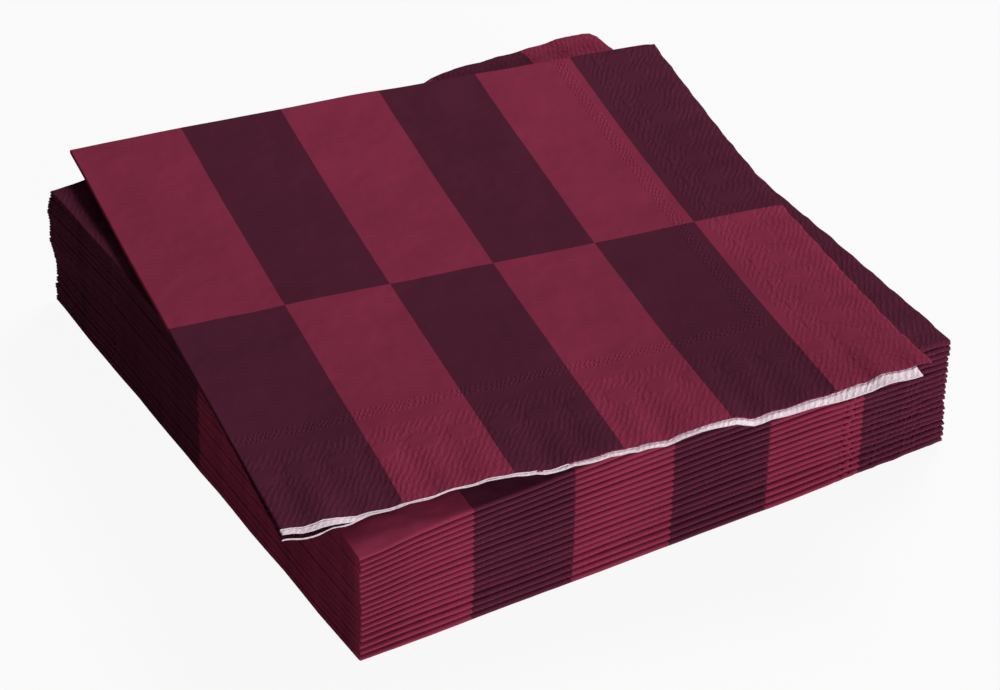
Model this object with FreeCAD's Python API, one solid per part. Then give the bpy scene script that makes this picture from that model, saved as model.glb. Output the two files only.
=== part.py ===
import FreeCAD, Part
import math
import os

# A stack of square paper napkins. Each is one sheet folded in half twice, and the top one
# lies turned and curled on the others.
# Millimetres. X runs along the stack's front edge, Y from front to back and Z up. The origin
# is the centre of the stack's underside.

V = FreeCAD.Vector
X_AXIS = V(1, 0, 0)
Y_AXIS = V(0, 1, 0)
Z_AXIS = V(0, 0, 1)

# The sheet
open_side = 330.0
layer = 0.34             # one layer of the folded sheet, its plies pressed together
layer_gap = 0.08         # air between two layers of one napkin
crease_bevel = 0.2       # the first fold is pressed flat, with its outside corners off

# The stack below the top napkin
stacked_napkins = 19
napkin_gap = 0.04        # air between two napkins
shift = 0.45             # the most that a stacked napkin lies out of line
bottom_slip = 1.0        # how far the bottom napkin has slid out to the front and left
slipped_napkins = 4      # napkins over which that slip dies out

# The top napkin
top_curl_radius = 1580.0     # it bends up towards its front
top_step = 2.5           # how far its lower layers reach past the upper ones at the front
top_turn = -8.6          # degrees, clockwise from above
top_tilt_right = 0.67    # degrees down towards the right
top_tilt_back = 2.1      # degrees up towards the back
top_x = -3.5             # how far its middle lies from the stack's
top_y = -2.6

folded_side = open_side / 2
half_side = folded_side / 2
pair_thickness = 2 * layer + layer_gap
napkin_thickness = 2 * pair_thickness + layer_gap
half_thickness = napkin_thickness / 2
fold_y = -half_side + half_thickness    # axis of the second fold, at the front
run = half_side - fold_y                # flat length from that axis to the open edge
pitch = napkin_thickness + napkin_gap
stack_top = stacked_napkins * pitch - napkin_gap


def half_folded_section():
    """Section across the sheet folded once: two layers, joined by the crease at the left."""
    lower_inside = layer
    upper_inside = layer + layer_gap
    corners = [
        (half_side, 0),
        (half_side, lower_inside),
        (-half_side + layer, lower_inside),
        (-half_side + layer, upper_inside),
        (half_side, upper_inside),
        (half_side, pair_thickness),
        (-half_side + crease_bevel, pair_thickness),
        (-half_side, pair_thickness - crease_bevel),
        (-half_side, crease_bevel),
        (-half_side + crease_bevel, 0),
        (half_side, 0),
    ]
    return Part.Face(Part.makePolygon([V(x, fold_y, z) for x, z in corners]))


def flat_run(section, length):
    return section.extrude(Y_AXIS * length)


def curled_run(section, length):
    """The same run bent up by a large radius, level where it leaves the second fold."""
    centre = V(0, fold_y, half_thickness + top_curl_radius)
    return section.revolve(centre, X_AXIS, math.degrees(length / top_curl_radius))


def napkin(make_run, lower_step=0.0):
    """The half-folded sheet folded again at the front, which makes four layers."""
    middle = V(0, fold_y, half_thickness)
    lower_section = half_folded_section()
    upper_section = lower_section.mirror(middle, Z_AXIS)
    lower = make_run(lower_section, run + lower_step)
    second_fold = lower_section.revolve(middle, -X_AXIS, 180)
    upper = make_run(upper_section, run)
    return lower.fuse([second_fold, upper]).removeSplitter().Solids[0]


def stacked_place(number):
    """Where a napkin of the stack lies, counted from 0 at the bottom."""
    slip = bottom_slip * max(0.0, 1 - number / slipped_napkins)
    x = shift * math.sin(2.4 * number) - slip
    y = shift * math.cos(1.7 * number) - slip
    return V(x, y, number * pitch)


def place_on_stack(shape):
    """Turn the top napkin, and set it down until its lowest point meets the stack."""
    origin = V(0, 0, 0)
    placed = shape.mirror(origin, Y_AXIS)
    placed.rotate(origin, X_AXIS, top_tilt_back)
    placed.rotate(origin, Y_AXIS, top_tilt_right)
    placed.rotate(origin, Z_AXIS, top_turn)
    drop = placed.optimalBoundingBox(False).ZMin
    placed.translate(V(top_x, top_y, stack_top + napkin_gap - drop))
    return placed


def save(shape, node):
    shape.exportStep(os.path.join("parts", node + ".step"))


os.makedirs("parts", exist_ok=True)
flat_napkin = napkin(flat_run)
for number in range(stacked_napkins):
    stacked = flat_napkin.copy()
    stacked.translate(stacked_place(number))
    save(stacked, f"napkin_{number + 1:02d}")

top_napkin = place_on_stack(napkin(curled_run, top_step))
save(top_napkin, "top_napkin")
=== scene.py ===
import math

import bmesh
import bpy
from mathutils import Matrix, Vector, noise


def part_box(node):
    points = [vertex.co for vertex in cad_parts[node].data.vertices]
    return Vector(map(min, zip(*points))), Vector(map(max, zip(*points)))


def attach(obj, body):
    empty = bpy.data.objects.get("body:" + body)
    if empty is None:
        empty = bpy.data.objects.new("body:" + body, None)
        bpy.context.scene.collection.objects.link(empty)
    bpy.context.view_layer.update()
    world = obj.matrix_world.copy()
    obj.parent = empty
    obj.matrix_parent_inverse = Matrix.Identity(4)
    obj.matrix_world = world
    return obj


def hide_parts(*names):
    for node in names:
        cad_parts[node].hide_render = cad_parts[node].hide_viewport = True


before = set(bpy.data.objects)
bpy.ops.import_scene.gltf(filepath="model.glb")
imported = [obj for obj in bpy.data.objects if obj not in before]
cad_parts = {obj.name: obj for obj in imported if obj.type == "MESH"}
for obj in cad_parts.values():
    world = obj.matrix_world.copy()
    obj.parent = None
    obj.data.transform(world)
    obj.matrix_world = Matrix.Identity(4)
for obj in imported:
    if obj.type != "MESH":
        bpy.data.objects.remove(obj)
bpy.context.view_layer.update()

# A stack of paper napkins folded in four, with the top one askew. Lengths are in millimetres
# until they go into a mesh. X runs along the front, Y to the back and Z up.

MM = 0.001
STACKED = sorted(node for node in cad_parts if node.startswith("napkin_"))
TOP = "top_napkin"
first_low, first_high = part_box(STACKED[0])
SIDE = (first_high[0] - first_low[0]) / MM
HALF = SIDE / 2
OPEN_SIDE = 2 * SIDE

# The sheet
PAPER = 0.30             # thickness of one layer, its plies together
LOOSE_EDGE = 0.33        # the same at the cut edges, where the plies part
LAYER_PITCH = 0.41       # from one layer to the next inside a napkin
NAPKIN_PITCH = 1.64      # from one napkin to the next where the stack is tightest
ISLAND_PITCH = 10.1      # from one smooth island of the embossed border to the next
FIRST_RADIUS = LAYER_PITCH / 2
SECOND_RADIUS = LAYER_PITCH
QUARTER = math.pi / 2

# Which of a sheet's materials its printed side, its bare side and its cut edges have
PRINT_SIDE = 0
BARE_SIDE = 1
RIM = 2

# Height of the stack's upper face at the left, in the middle and at the right, along its
# front, its middle and its back, before FOLD_RISE and BACK_DIP
STACK_FRONT = (31.1, 33.0, 31.0)
STACK_MIDDLE = (32.5, 31.4, 29.4)
STACK_BACK = (35.8, 32.4, 31.5)
BACK_DIP = 2.7           # how much lower the left of the back edge lies
FOLD_RISE = 0.9          # how far the face rises behind each of its two folds
FOLD_PINCH = 0.34        # how much thinner a stacked napkin is at its second fold
REGISTER = 0.2           # share of the solids' small shifts that the squared stack keeps
LOWEST_SLIP = 1.0        # how far the lowest napkin lies to the left and the front
SLIPPED = 4              # how many of the lowest napkins slip so, each less than the last

# The top napkin: its place, and the height of its face on the same three lines of its own
TOP_TURN = math.radians(-8.6)
TOP_X = -3.5
TOP_Y = -2.6
TOP_FRONT = (37.9, 38.4, 40.6)
TOP_MIDDLE = (37.6, 35.5, 33.6)
TOP_BACK = (38.4, 37.1, 33.9)

# How far the face rises or sinks along the top napkin's front edge, by distance from its left
FRONT_WAVE = ((0, 0.1), (5, -0.5), (11, -0.2), (20, -1.4), (26, -1.4), (36, -1.1), (43, -0.3),
              (50, 0.0), (57, 0.1), (62, -0.9), (66, -1.5), (73, -1.1), (80, -0.7), (90, -1.0),
              (95, -1.45), (100, -0.6), (107, 0.1), (113, -0.4), (119, -1.9), (124, -1.5),
              (133, -1.2), (142, -0.8), (147, -0.1), (152, 0.85), (165, 0.8))
WAVE_REACH = 16.0        # how far those waves run in from the edge

# How far the second layer stands out beyond the first one there
LAYER_STEP = ((0, 1.3), (8, 1.9), (15, 1.7), (22, 0.5), (36, 0.0), (54, 0.2), (64, 0.7),
              (80, 1.0), (107, 1.1), (122, 1.7), (140, 2.0), (148, 3.0), (165, 3.4))
TOP_PITCH = 0.80         # its layers lie closer than those of a loose napkin
PRESSED_SHUT = 70.0      # from about here to the right its front edge shows print


def through(values, place):
    """The quadratic through three values at places -1, 0 and 1."""
    first, middle, last = values
    return middle + place * (last - first) / 2 + place * place * (first + last - 2 * middle) / 2


def surface(front, middle, back, x, y):
    lines = [through(line, x / HALF) for line in (front, middle, back)]
    return through(lines, y / HALF)


def along_curve(points, place):
    """Smooth value at a place between given points."""
    place = min(max(place, points[0][0]), points[-1][0])
    for (start, value_1), (end, value_2) in zip(points, points[1:]):
        if place <= end:
            share = (place - start) / (end - start)
            share = share * share * (3 - 2 * share)
            return value_1 + (value_2 - value_1) * share
    return points[-1][1]


def waver(x, y, z, size):
    """Smooth noise between about -1 and 1, with hills of the given size."""
    return 2 * noise.noise(Vector((x / size, y / size, z)))


def smooth_step(low_end, high_end, value):
    share = min(max((value - low_end) / (high_end - low_end), 0), 1)
    return share * share * (3 - 2 * share)


def border_pillows(x, y):
    """Soft swellings between the pressed islands of the border, by place on a folded napkin."""
    from_side = HALF - x
    from_end = HALF - y
    edge = min(from_side, from_end)
    along = from_end if from_side < from_end else from_side
    return math.cos(2 * math.pi * (along - 12.0) / ISLAND_PITCH) * (1 - smooth_step(8, 26, edge))


def edge_roll(x, y):
    """How far the cut edges bend down."""
    return 0.35 * (1 - smooth_step(0, 3, HALF - x)) + 0.2 * (1 - smooth_step(0, 2, HALF - y))


# Folding

def folded(s, t):
    """Where a point of the open sheet lies once it is folded at s = 0 and then at t = 0.

    The result is measured from the folded napkin's middle. The printed face is outside.
    """
    outside = math.copysign(1, s)
    arc = FIRST_RADIUS * QUARTER
    if abs(s) < arc:
        angle = abs(s) / FIRST_RADIUS
        x = FIRST_RADIUS * (1 - math.cos(angle))
        out = FIRST_RADIUS * math.sin(angle) * outside
    else:
        x = FIRST_RADIUS + abs(s) - arc
        out = FIRST_RADIUS * outside
    radius = SECOND_RADIUS + out
    upper = math.copysign(1, t)
    arc = SECOND_RADIUS * QUARTER
    if abs(t) < arc:
        angle = abs(t) / SECOND_RADIUS
        y = SECOND_RADIUS + FIRST_RADIUS - radius * math.cos(angle)
        z = radius * math.sin(angle) * upper
    else:
        y = SECOND_RADIUS + FIRST_RADIUS + abs(t) - arc
        z = radius * upper
    return x - HALF + PAPER / 2, y - HALF + PAPER / 2, z


def half_lines(plain_step, border_step):
    """Grid lines from a fold to the sheet's edge: close at the fold and in the border."""
    border = 40.0
    first_arc = FIRST_RADIUS * QUARTER
    second_arc = SECOND_RADIUS * QUARTER
    lines = [first_arc * i / 4 for i in range(5)]
    lines += [(first_arc + second_arc) / 2, second_arc, 1.2, 2.5]
    plain_end = SIDE - border
    plain_count = round((plain_end - lines[-1]) / plain_step)
    plain_start = lines[-1]
    lines += [plain_start + (plain_end - plain_start) * (i + 1) / plain_count
              for i in range(plain_count)]
    border_count = round(border / border_step)
    lines += [plain_end + border * (i + 1) / border_count for i in range(border_count)]
    return lines


def open_sheet(across, along, press):
    """The flat sheet as a grid, with two UV maps that keep each point's place on it.

    Each of across and along has the lines on the minus and the plus side of a fold. The
    second map is stretched a little, so that no two sheets are embossed quite alike.
    """
    columns = [-line for line in across[0][:0:-1]] + across[1]
    rows = [-line for line in along[0][:0:-1]] + along[1]
    bm = bmesh.new()
    bmesh.ops.create_grid(bm, x_segments=len(columns) - 1, y_segments=len(rows) - 1, size=1)
    for vert in bm.verts:
        column = round((vert.co.x + 1) / 2 * (len(columns) - 1))
        row = round((vert.co.y + 1) / 2 * (len(rows) - 1))
        vert.co = (columns[column], rows[row], 0)
    print_map = bm.loops.layers.uv.new("sheet")
    press_map = bm.loops.layers.uv.new("press")
    for face in bm.faces:
        for loop in face.loops:
            u = loop.vert.co.x / OPEN_SIDE
            v = loop.vert.co.y / OPEN_SIDE
            loop[print_map].uv = (u + 0.5, v + 0.5)
            loop[press_map].uv = (u * press[0] + 0.5, v * press[1] + 0.5)
    return bm


def make_napkin(name, node, place, across, along, press):
    """A folded sheet whose points are put in their place by the given function."""
    bm = open_sheet(across, along, press)
    loose = bm.verts.layers.deform.new()
    for vert in bm.verts:
        s, t, _ = vert.co
        from_edge = SIDE - max(abs(s), abs(t))
        vert[loose][0] = 1 - smooth_step(0, 1.6, from_edge)
        x, y, z = place(*folded(s, t))
        vert.co = (x * MM, y * MM, z * MM)
    for face in bm.faces:
        face.smooth = True
    mesh = bpy.data.meshes.new(name)
    bm.to_mesh(mesh)
    bm.free()
    napkin = bpy.data.objects.new(name, mesh)
    bpy.context.scene.collection.objects.link(napkin)
    for material in (PRINTED, PLAIN, CUT):
        mesh.materials.append(material)
    napkin.vertex_groups.new(name="loose edge")
    wall = napkin.modifiers.new("paper", "SOLIDIFY")
    wall.thickness = LOOSE_EDGE * MM
    wall.vertex_group = "loose edge"
    wall.thickness_vertex_group = PAPER / LOOSE_EDGE
    wall.offset = 0
    wall.material_offset = BARE_SIDE
    wall.material_offset_rim = RIM
    graph = bpy.context.evaluated_depsgraph_get()
    solid = bpy.data.meshes.new_from_object(napkin.evaluated_get(graph))
    napkin.modifiers.clear()
    napkin.data = solid
    solid.name = name
    bpy.data.meshes.remove(mesh)
    solid.set_sharp_from_angle(angle=math.radians(55))
    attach(napkin, "root")
    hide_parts(node)
    return napkin


# The stacked napkins

def stack_face(x, y):
    rise = FOLD_RISE * (smooth_step(0, 10, y + HALF) + smooth_step(0, 18, x + HALF))
    dip = BACK_DIP * smooth_step(HALF - 40, HALF, y) * (1 - smooth_step(22, 36, x))
    return surface(STACK_FRONT, STACK_MIDDLE, STACK_BACK, x, y) + rise - dip


def stacked_place(number, centre_x, centre_y):
    """The function that lays a folded sheet at its level of the stack."""
    last = len(STACKED)
    slipped = LOWEST_SLIP * max(0, 1 - number / SLIPPED)
    centre_x = REGISTER * (centre_x + slipped) - slipped
    centre_y = REGISTER * (centre_y + slipped) - slipped

    def place(x, y, z):
        # Where the point is on the folded napkin
        at_front = 1 - smooth_step(0, 7, y + HALF)
        at_left = 1 - smooth_step(0, 6, x + HALF)
        at_back = smooth_step(HALF - 45, HALF, y)
        at_low_front = 1 - smooth_step(0, 50, y + HALF)
        near_corner = 1 - smooth_step(0, 30, x + HALF)

        # Layers pressed together at the folds, and the napkin's level in the stack
        pinch = FOLD_PINCH + 0.08 * waver(x, number * 2.3, 4.4, 35) + 0.12 * near_corner
        pinch += 0.1 * (1 - smooth_step(1, 12, x + HALF)) - 0.2 * smooth_step(HALF - 8, HALF, x)
        z *= 1 - pinch * at_front - 0.12 * at_left * (1 - at_front)
        level = number + 0.5 + z / NAPKIN_PITCH
        level += 0.06 * at_front * waver(x, number * 3.1, 1.3, 30)
        pressed = smooth_step(HALF - 36, HALF - 30, x) * at_front
        level += 0.05 * pressed * waver(x, number * 2.9, 7.7, 3.5)
        share = level / last

        # Folds that stand out unevenly, and slips and fibres at the cut edges
        puff = 0.13 * waver(x, number * 9.7, 0.3, 25) + 0.05 * waver(x, number * 4.3, 0.9, 5)
        puff += 0.12 * pressed * waver(x, number * 6.1, 3.9, 2.5)
        lean = 0.2 * waver(y, number * 7.9, 5.3, 18)
        lean -= 1.1 * smooth_step(0.35, 0.6, share) * (1 - smooth_step(0.85, 1, share)) * at_back
        slip = 0.09 * waver(z * 20, number * 5.1, 9.1, 3)
        fray = 0.10 * waver(x, y, z * 3 + number, 1.4)
        right = smooth_step(HALF - 30, HALF, x) * slip + smooth_step(HALF - 3, HALF, x) * fray
        back = smooth_step(HALF - 30, HALF, y) * slip + smooth_step(HALF - 3, HALF, y) * fray

        # Height, with the lowest napkin raised at the front right, and waves that grow upwards
        height = stack_face(x, y) * share
        raised = smooth_step(HALF - 50, HALF, x) * at_low_front * (1 - smooth_step(0, 0.4, share))
        wave = 0.3 * waver(x, y, share * 1.5, 32) + 0.07 * waver(x + 50, y, share * 3, 9)
        wave *= smooth_step(0.0, 0.25, share)
        upper = smooth_step(0.7, 1.0, share)
        wave += upper * (0.15 * border_pillows(x, y) - edge_roll(x, y))

        # The upper napkins' back corners droop, and their back edge turns up and runs askew
        far_corner = math.hypot(HALF - x, HALF - y)
        left_corner = math.hypot(HALF + x, HALF - y)
        droop = 1.1 * (1 - smooth_step(0, 9, far_corner))
        droop += 0.5 * (1 - smooth_step(0, 6, left_corner))
        turned_edge = smooth_step(10, 30, x) * (1 - smooth_step(0, 10, HALF - y))
        wave += upper * (1.1 * turned_edge * smooth_step(0, 6, HALF - y) - droop)
        skew = 2.6 * upper * at_back * smooth_step(HALF - 24, HALF, x)
        return (centre_x + x + lean * at_left + right - skew + 0.6 * raised,
                centre_y + y + puff * at_front + back, height + wave * share + 1.1 * raised)
    return place


def build_stack():
    below = None
    last = len(STACKED) - 1
    coarse = half_lines(9.0, 5.0)
    middling = half_lines(4.0, 1.6)
    fine = half_lines(1.8, 1.2)
    for number, node in enumerate(STACKED):
        low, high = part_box(node)
        centre_x = (low[0] + high[0]) / 2 / MM
        centre_y = (low[1] + high[1]) / 2 / MM
        place = stacked_place(number, centre_x, centre_y)
        across = (coarse, fine) if number == last else (middling, middling)
        along = (coarse, fine) if number == last else (coarse, coarse)
        press = (1 + 0.008 * waver(number * 3.3, 0.5, 0.5, 1),
                 1 + 0.008 * waver(number * 2.7, 4.5, 0.5, 1))
        name = "folded_napkin_%02d" % (number + 1)
        make_napkin(name, node, place, across, along, press)
        below = name
    return below


# The top napkin

def top_place(x, y, z):
    """Lays the folded sheet askew on the stack, with its second fold at the back."""
    # Turned over, so depth grows from the upper face down through the four layers
    y, z = -y, -z
    depth = (1.5 * LAYER_PITCH - z) * TOP_PITCH
    under = smooth_step(0.1, 0.3, depth)
    low_pair = smooth_step(0.35, 0.6, depth)
    lowest = smooth_step(0.7, 0.95, depth)
    from_left = x + HALF
    from_front = y + HALF

    # How far the lower layers stand out at the front and draw in at the right
    drawn_in = 0.25 + 1.3 * smooth_step(18, 32, from_left)
    reach = along_curve(LAYER_STEP, from_left) * under - drawn_in * low_pair - 0.3 * lowest
    inset = 4.0 * under * smooth_step(60, 165, from_left)
    fray = 0.13 * waver(x, depth * 9, 6.1, 1.3) + 0.12 * waver(x, depth * 5, 2.7, 4)
    y -= reach * (1 - smooth_step(0, 120, from_front)) + fray * (1 - smooth_step(0, 3, from_front))
    x -= inset * (1 - smooth_step(0, 150, from_front))
    x += 0.12 * waver(y, depth * 7, 4.1, 1.4) * smooth_step(HALF - 3, HALF, x)

    # Height of the face with its waves, and how the layers part at the front left
    from_left = x + HALF
    from_front = y + HALF
    face = surface(TOP_FRONT, TOP_MIDDLE, TOP_BACK, x, y) - PAPER / 2
    wave = along_curve(FRONT_WAVE, from_left) * math.exp(-max(from_front, 0) / WAVE_REACH)
    soft = 0.25 * waver(x, y, 3.7, 40) + 0.10 * waver(x, y, 8.1, 13)
    soft += 0.18 * border_pillows(x, -y) - edge_roll(x, -y)
    mouth = 1.5 * (1 - smooth_step(8, 20, from_left)) * (1 - smooth_step(0, 45, from_front))
    droop = 0.9 * smooth_step(56, 90, from_left) * (1 - smooth_step(-3.5, 1.5, from_front))
    height = face + wave + soft - depth - mouth * low_pair - droop * under
    flat = Matrix.Rotation(TOP_TURN, 2) @ Vector((x, y))
    return flat.x + TOP_X, flat.y + TOP_Y, height


def build_top():
    hidden = half_lines(9.0, 5.0)
    under = half_lines(2.4, 2.2)
    seen = half_lines(1.6, 0.8)
    napkin = make_napkin("turned_napkin", TOP, top_place, (under, seen), (seen, hidden), (1, 1))
    # The face's front edge is pressed shut towards the right, and its print hides the cut
    places = napkin.data.uv_layers["sheet"].data
    for face in napkin.data.polygons:
        u, v = places[face.loop_start].uv
        along = (u - 0.5) * OPEN_SIDE
        shut = along + 9 * waver(along, 0, 0, 3) > PRESSED_SHUT
        if face.material_index == RIM and v < 0.01 and shut:
            face.material_index = PRINT_SIDE


# Materials

def linear(hex_colour):
    """An sRGB hex colour as linear red, green, blue and alpha."""
    parts = [int(hex_colour[i:i + 2], 16) / 255 for i in (0, 2, 4)]
    return [c / 12.92 if c <= 0.04045 else ((c + 0.055) / 1.055) ** 2.4 for c in parts] + [1.0]


def add_node(tree, kind, settings=None, **inputs):
    """Adds a shader node, sets its settings, and links or sets its named inputs."""
    new = tree.nodes.new(kind)
    for name, value in (settings or {}).items():
        setattr(new, name, value)
    for name, value in inputs.items():
        numbered = name[1:].isdigit()
        socket = new.inputs[int(name[1:]) if numbered else name.replace("_", " ")]
        if isinstance(value, bpy.types.NodeSocket):
            tree.links.new(value, socket)
        else:
            socket.default_value = value
    return new


def maths(tree, operation, first, second=0.0, third=0.0, clamp=False):
    settings = {"operation": operation, "use_clamp": clamp}
    return add_node(tree, "ShaderNodeMath", settings, _0=first, _1=second, _2=third).outputs[0]


def ramp(tree, value, start, end):
    """Rises smoothly from 0 to 1 between two values."""
    settings = {"interpolation_type": "SMOOTHSTEP"}
    new = add_node(tree, "ShaderNodeMapRange", settings, _0=value, _1=start, _2=end)
    return new.outputs[0]


# The print
FIRST_STRIPE = 30.0      # the stripe next to the first fold
STRIPE = 27.5            # the others

# The embossed border, as distances from the cut edges where two numbers are given
RIPPLE = 1.4             # from one ripple to the next
RIPPLE_ANGLE = math.radians(57)
STROKE = 4.2             # length of one ripple until it fades
SIDE_SHIFT = 5.5         # how much further out the pattern lies at the side edge
RIPPLES_FADE = (27.0, 28.8)
DOTTED_LINE = (32.8, 35.6)
ISLAND_ROW = (14.6, 24.6)
ISLAND_MIDDLE = (17.3, 19.5)
ISLAND_HALF = (4.1, 3.3)  # half an island's width and length
ISLAND_RISE = 1.2        # an island's height as a multiple of a ripple's


def sheet_places(tree, uv_map):
    """Distances from the first and the second fold in millimetres, and the second one signed."""
    uv = add_node(tree, "ShaderNodeUVMap", {"uv_map": uv_map}).outputs[0]
    parts = add_node(tree, "ShaderNodeSeparateXYZ", None, _0=uv)
    places = []
    for part in (parts.outputs[0], parts.outputs[1]):
        place = maths(tree, "MULTIPLY_ADD", part, OPEN_SIDE, -SIDE)
        places.append(maths(tree, "ABSOLUTE", place))
    return *places, place


def checks(tree, a, b):
    """The print: 1 on its red fields and 0 on its dark ones."""
    after_first = maths(tree, "DIVIDE", maths(tree, "SUBTRACT", a, FIRST_STRIPE - STRIPE), STRIPE)
    column = maths(tree, "FLOOR", maths(tree, "MAXIMUM", after_first, 0.0))
    row = maths(tree, "FLOOR", maths(tree, "DIVIDE", b, HALF))
    both = maths(tree, "ADD", column, row)
    return maths(tree, "SUBTRACT", 1.0, maths(tree, "MODULO", both, 2.0))


def between(tree, value, start, end, soft):
    """1 between two values, falling off softly outside them."""
    return maths(tree, "MULTIPLY", ramp(tree, value, start - soft, start),
                 maths(tree, "SUBTRACT", 1.0, ramp(tree, value, end, end + soft)))


def swing(tree, cycles):
    """A wave between 0 and 1."""
    sine = maths(tree, "SINE", maths(tree, "MULTIPLY", cycles, 2 * math.pi))
    return maths(tree, "MULTIPLY_ADD", sine, 0.5, 0.5)


def flat_noise(tree, place, scale, detail):
    return add_node(tree, "ShaderNodeTexNoise", {"noise_dimensions": "2D"}, Vector=place, Scale=scale,
                    Detail=detail).outputs[0]


def embossing(tree):
    """The border's relief: leaning ripples with a dotted line, and the smooth islands."""
    a, b, signed_b = sheet_places(tree, "press")
    from_side = maths(tree, "SUBTRACT", SIDE + SIDE_SHIFT, a)
    from_end = maths(tree, "SUBTRACT", SIDE, b)
    edge = maths(tree, "MINIMUM", from_side, from_end)
    place = add_node(tree, "ShaderNodeCombineXYZ", None, _0=a, _1=b).outputs[0]
    lean_a = math.sin(RIPPLE_ANGLE)
    lean_b = math.cos(RIPPLE_ANGLE)
    across = maths(tree, "MULTIPLY", a, lean_a / RIPPLE)
    across = maths(tree, "MULTIPLY_ADD", signed_b, -lean_b / RIPPLE, across)
    across = maths(tree, "MULTIPLY_ADD", flat_noise(tree, place, 0.13, 1.0), 1.4, across)
    across = maths(tree, "MULTIPLY_ADD", flat_noise(tree, place, 0.8, 1.0), 0.5, across)
    along = maths(tree, "MULTIPLY", a, -lean_b / STROKE)
    along = maths(tree, "MULTIPLY_ADD", signed_b, -lean_a / STROKE, along)
    along = maths(tree, "MULTIPLY_ADD", maths(tree, "FLOOR", across), 0.37, along)
    broken = maths(tree, "MULTIPLY_ADD", swing(tree, along), 0.5, 0.5)
    worn = ramp(tree, flat_noise(tree, place, 0.5, 2.0), 0.25, 0.6)
    ripple = maths(tree, "MULTIPLY", swing(tree, across), maths(tree, "MULTIPLY", broken, worn))
    dots = maths(tree, "MULTIPLY", swing(tree, maths(tree, "MULTIPLY", across, 1.3)),
                 swing(tree, maths(tree, "MULTIPLY", along, 2.6)))
    cell_a = maths(tree, "PINGPONG", maths(tree, "SUBTRACT", from_side, ISLAND_MIDDLE[0]),
                   ISLAND_PITCH / 2)
    cell_b = maths(tree, "PINGPONG", maths(tree, "SUBTRACT", from_end, ISLAND_MIDDLE[1]),
                   ISLAND_PITCH / 2)
    part_a = maths(tree, "POWER", maths(tree, "DIVIDE", cell_a, ISLAND_HALF[0]), 2.0)
    part_b = maths(tree, "POWER", maths(tree, "DIVIDE", cell_b, ISLAND_HALF[1]), 2.0)
    oval = maths(tree, "ADD", part_a, part_b)
    oval = maths(tree, "MULTIPLY_ADD", flat_noise(tree, place, 0.6, 1.0), 0.9,
                 maths(tree, "SUBTRACT", oval, 0.45))
    island = maths(tree, "SUBTRACT", 1.0, ramp(tree, oval, 0.5, 1.2))
    island = maths(tree, "MULTIPLY", island, between(tree, edge, *ISLAND_ROW, 0.5))
    wide = maths(tree, "SUBTRACT", 1.0, ramp(tree, edge, *RIPPLES_FADE))
    wide = maths(tree, "MULTIPLY", wide, maths(tree, "SUBTRACT", 1.0, island))
    line = maths(tree, "MULTIPLY", between(tree, edge, *DOTTED_LINE, 0.8), 1.4)
    deeper = maths(tree, "MULTIPLY_ADD", ramp(tree, a, SIDE - 34, SIDE - 20), 0.35, 0.9)
    ripple = maths(tree, "MULTIPLY", ripple, maths(tree, "MULTIPLY", wide, deeper))
    pressed = maths(tree, "ADD", ripple, maths(tree, "MULTIPLY", dots, line))
    return pressed, island


def tissue(name, inks, depth, grain):
    """Tissue paper with its fibres, clouded thickness, faint creases and pressed border, and painted
    highlights on the border's ripples and along the side's cut edges.

    The inks are one colour, or the print's red and dark ones. The depth is that of the pressed
    border in millimetres, and the grain is how much the fibres change the shade.
    """
    material = bpy.data.materials.new(name)
    material.use_nodes = True
    tree = material.node_tree
    tree.nodes.clear()
    a, b, _ = sheet_places(tree, "sheet")
    place = add_node(tree, "ShaderNodeCombineXYZ", None, _0=a, _1=b).outputs[0]
    fibres = add_node(tree, "ShaderNodeTexNoise", None, Vector=place, Scale=1.8, Detail=4.0,
                      Roughness=0.7).outputs[0]
    cloud = flat_noise(tree, place, 0.05, 3.0)
    crumple = flat_noise(tree, place, 0.09, 2.5)
    pressed, island = embossing(tree)
    if len(inks) == 2:
        bleed = maths(tree, "MULTIPLY_ADD", fibres, 0.6, -0.3)
        field = checks(tree, maths(tree, "ADD", a, bleed), maths(tree, "ADD", b, bleed))
        colour = add_node(tree, "ShaderNodeMix", {"data_type": "RGBA"}, _0=field, _6=linear(inks[1]),
                          _7=linear(inks[0])).outputs[2]
    else:
        colour = linear(inks[0])
    shade = maths(tree, "MULTIPLY_ADD", fibres, grain, 0.88 - grain / 2)
    shade = maths(tree, "MULTIPLY_ADD", cloud, 0.22, shade)
    # Painted highlight: the embossed ripples and dotted line are painted lighter, over the shading
    # their bump gives
    shade = maths(tree, "MULTIPLY_ADD", pressed, 0.14, shade)
    # Paler frayed fibres and a painted highlight: the last millimetre before the side's cut edges is
    # painted lighter
    frayed_edge_and_highlight = maths(tree, "MULTIPLY", fibres, ramp(tree, a, SIDE - 0.9, SIDE - 0.1))
    shade = maths(tree, "MULTIPLY_ADD", frayed_edge_and_highlight, 0.5, shade)
    tinted = add_node(tree, "ShaderNodeHueSaturation", None, Color=colour, Value=shade).outputs[0]
    relief = maths(tree, "MULTIPLY_ADD", pressed, depth, maths(tree, "MULTIPLY", fibres, 0.03))
    relief = maths(tree, "MULTIPLY_ADD", crumple, 0.6, relief)
    relief = maths(tree, "MULTIPLY_ADD", island, ISLAND_RISE * depth, relief)
    bump = add_node(tree, "ShaderNodeBump", None, Height=relief, Strength=1.0, Distance=MM).outputs[0]
    shader = add_node(tree, "ShaderNodeBsdfPrincipled", None, Base_Color=tinted, Roughness=0.9,
                      Normal=bump)
    shader.inputs["Specular IOR Level"].default_value = 0.02
    add_node(tree, "ShaderNodeOutputMaterial", None, Surface=shader.outputs[0])
    return material


# Three-ply tissue, creped from pulp, flexo-printed in two water-based inks and embossed with a
# steel roll: matt, with soft edges to the print and a shade that changes a little with the fibres
PRINTED = tissue("printed_three_ply_tissue", ("7A2941", "4A1D2E"), 0.17, 0.16)
# The same tissue on its unprinted side: off-white, faintly pink from the ink that soaks through
PLAIN = tissue("unprinted_three_ply_tissue", ("DECCD4",), 0.12, 0.5)
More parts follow.
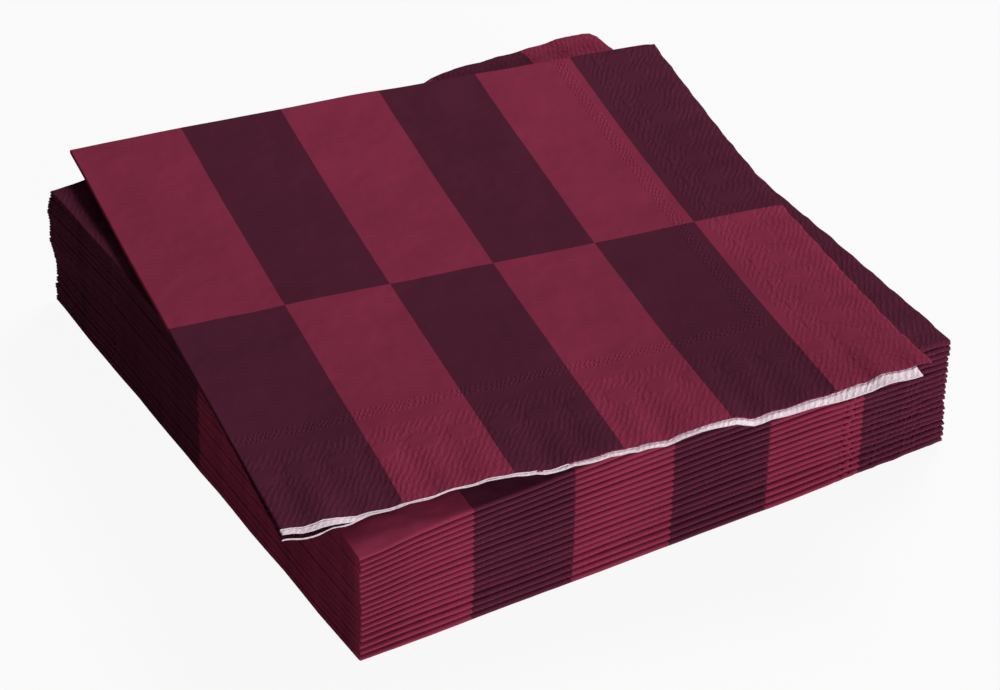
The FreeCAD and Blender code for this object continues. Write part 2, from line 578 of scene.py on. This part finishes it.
# The same tissue where a knife cut it: a greyish line of torn fibres, too thin to be embossed
CUT = tissue("cut_tissue_edge", ("B0A4AB",), 0.0, 0.7)


# Ground, light and camera

GROUND_SIZE = 3.0        # half its side, in metres
GROUND_WHITE = 0.92      # share of plain white in what the camera sees of it
WORLD_LIGHT = 0.10       # strength of the even light from all round

# Each lamp: degrees round from straight in front towards the right, degrees above the
# ground, watts, width and height in metres
LAMPS = {"key": (121, 44, 24.6, 0.6, 0.6),
         "front": (-4, 9, 32.5, 1.0, 0.3)}
LAMP_DISTANCE = 1.6      # metres from the middle of the stack's underside


def build_floor():
    """Pale paper ground that shows white to the camera and keeps the stack's shadow."""
    bm = bmesh.new()
    bmesh.ops.create_grid(bm, x_segments=1, y_segments=1, size=GROUND_SIZE)
    mesh = bpy.data.meshes.new("ground")
    bm.to_mesh(mesh)
    bm.free()
    floor = bpy.data.objects.new("ground", mesh)
    bpy.context.scene.collection.objects.link(floor)
    material = bpy.data.materials.new("white_ground_paper")
    material.use_nodes = True
    tree = material.node_tree
    tree.nodes.clear()
    paper = add_node(tree, "ShaderNodeBsdfDiffuse", None, Color=linear("BCBCBC")).outputs[0]
    white = add_node(tree, "ShaderNodeEmission", None, Strength=1.0).outputs[0]
    seen = add_node(tree, "ShaderNodeLightPath").outputs["Is Camera Ray"]
    share = maths(tree, "MULTIPLY", seen, GROUND_WHITE)
    mixed = add_node(tree, "ShaderNodeMixShader", None, _0=share, _1=paper, _2=white).outputs[0]
    add_node(tree, "ShaderNodeOutputMaterial", None, Surface=mixed)
    mesh.materials.append(material)


def build_light():
    world = bpy.data.worlds.new("studio")
    bpy.context.scene.world = world
    world.use_nodes = True
    tree = world.node_tree
    tree.nodes.clear()
    seen = add_node(tree, "ShaderNodeLightPath").outputs["Is Camera Ray"]
    strength = maths(tree, "MULTIPLY_ADD", seen, 1.0 - WORLD_LIGHT, WORLD_LIGHT)
    sky = add_node(tree, "ShaderNodeBackground", None, Strength=strength).outputs[0]
    add_node(tree, "ShaderNodeOutputWorld", None, Surface=sky)
    for name, settings in LAMPS.items():
        add_lamp(name, *settings)


def add_lamp(name, angle, rise, power, width, height):
    """Soft box aimed at the stack."""
    angle = math.radians(angle)
    rise = math.radians(rise)
    away = Vector((math.sin(angle) * math.cos(rise), -math.cos(angle) * math.cos(rise),
                   math.sin(rise)))
    data = bpy.data.lights.new(name, "AREA")
    data.shape = "RECTANGLE"
    data.size = width
    data.size_y = height
    data.energy = power
    lamp = bpy.data.objects.new(name, data)
    lamp.matrix_world = (Matrix.Translation(away * LAMP_DISTANCE)
                         @ away.to_track_quat("Z", "Y").to_matrix().to_4x4())
    bpy.context.scene.collection.objects.link(lamp)


# The camera looks from this angle round to the left and this rise above the ground, tipped by
# its roll, and stands this far back, right and up from the middle of the stack's underside
CAMERA_ANGLE = math.radians(-30.91)
CAMERA_RISE = math.radians(36.63)
CAMERA_ROLL = math.radians(0.79)
CAMERA_DISTANCE = 982.8
CAMERA_RIGHT = 2.79
CAMERA_UP = 6.07
SENSOR = 36.0
FOCAL_PIXELS = 3841.0    # focal length in pixels of a picture PICTURE_WIDTH wide
PICTURE_WIDTH = 1000
LENS = FOCAL_PIXELS / PICTURE_WIDTH * SENSOR


def build_camera():
    back = Vector((math.sin(CAMERA_ANGLE) * math.cos(CAMERA_RISE),
                   -math.cos(CAMERA_ANGLE) * math.cos(CAMERA_RISE), math.sin(CAMERA_RISE)))
    right = Vector((math.cos(CAMERA_ANGLE), math.sin(CAMERA_ANGLE), 0))
    up = back.cross(right)
    turn = Matrix((right, up, back)).transposed() @ Matrix.Rotation(CAMERA_ROLL, 3, "Z")
    place = turn @ Vector((CAMERA_RIGHT, CAMERA_UP, CAMERA_DISTANCE)) * MM
    data = bpy.data.cameras.new("camera")
    data.sensor_width = SENSOR
    data.lens = LENS
    camera = bpy.data.objects.new("camera", data)
    camera.matrix_world = Matrix.Translation(place) @ turn.to_4x4()
    bpy.context.scene.collection.objects.link(camera)
    bpy.context.scene.camera = camera


bpy.context.scene.view_settings.view_transform = "Standard"
build_camera()
build_floor()
build_light()
highest = build_stack()
build_top()
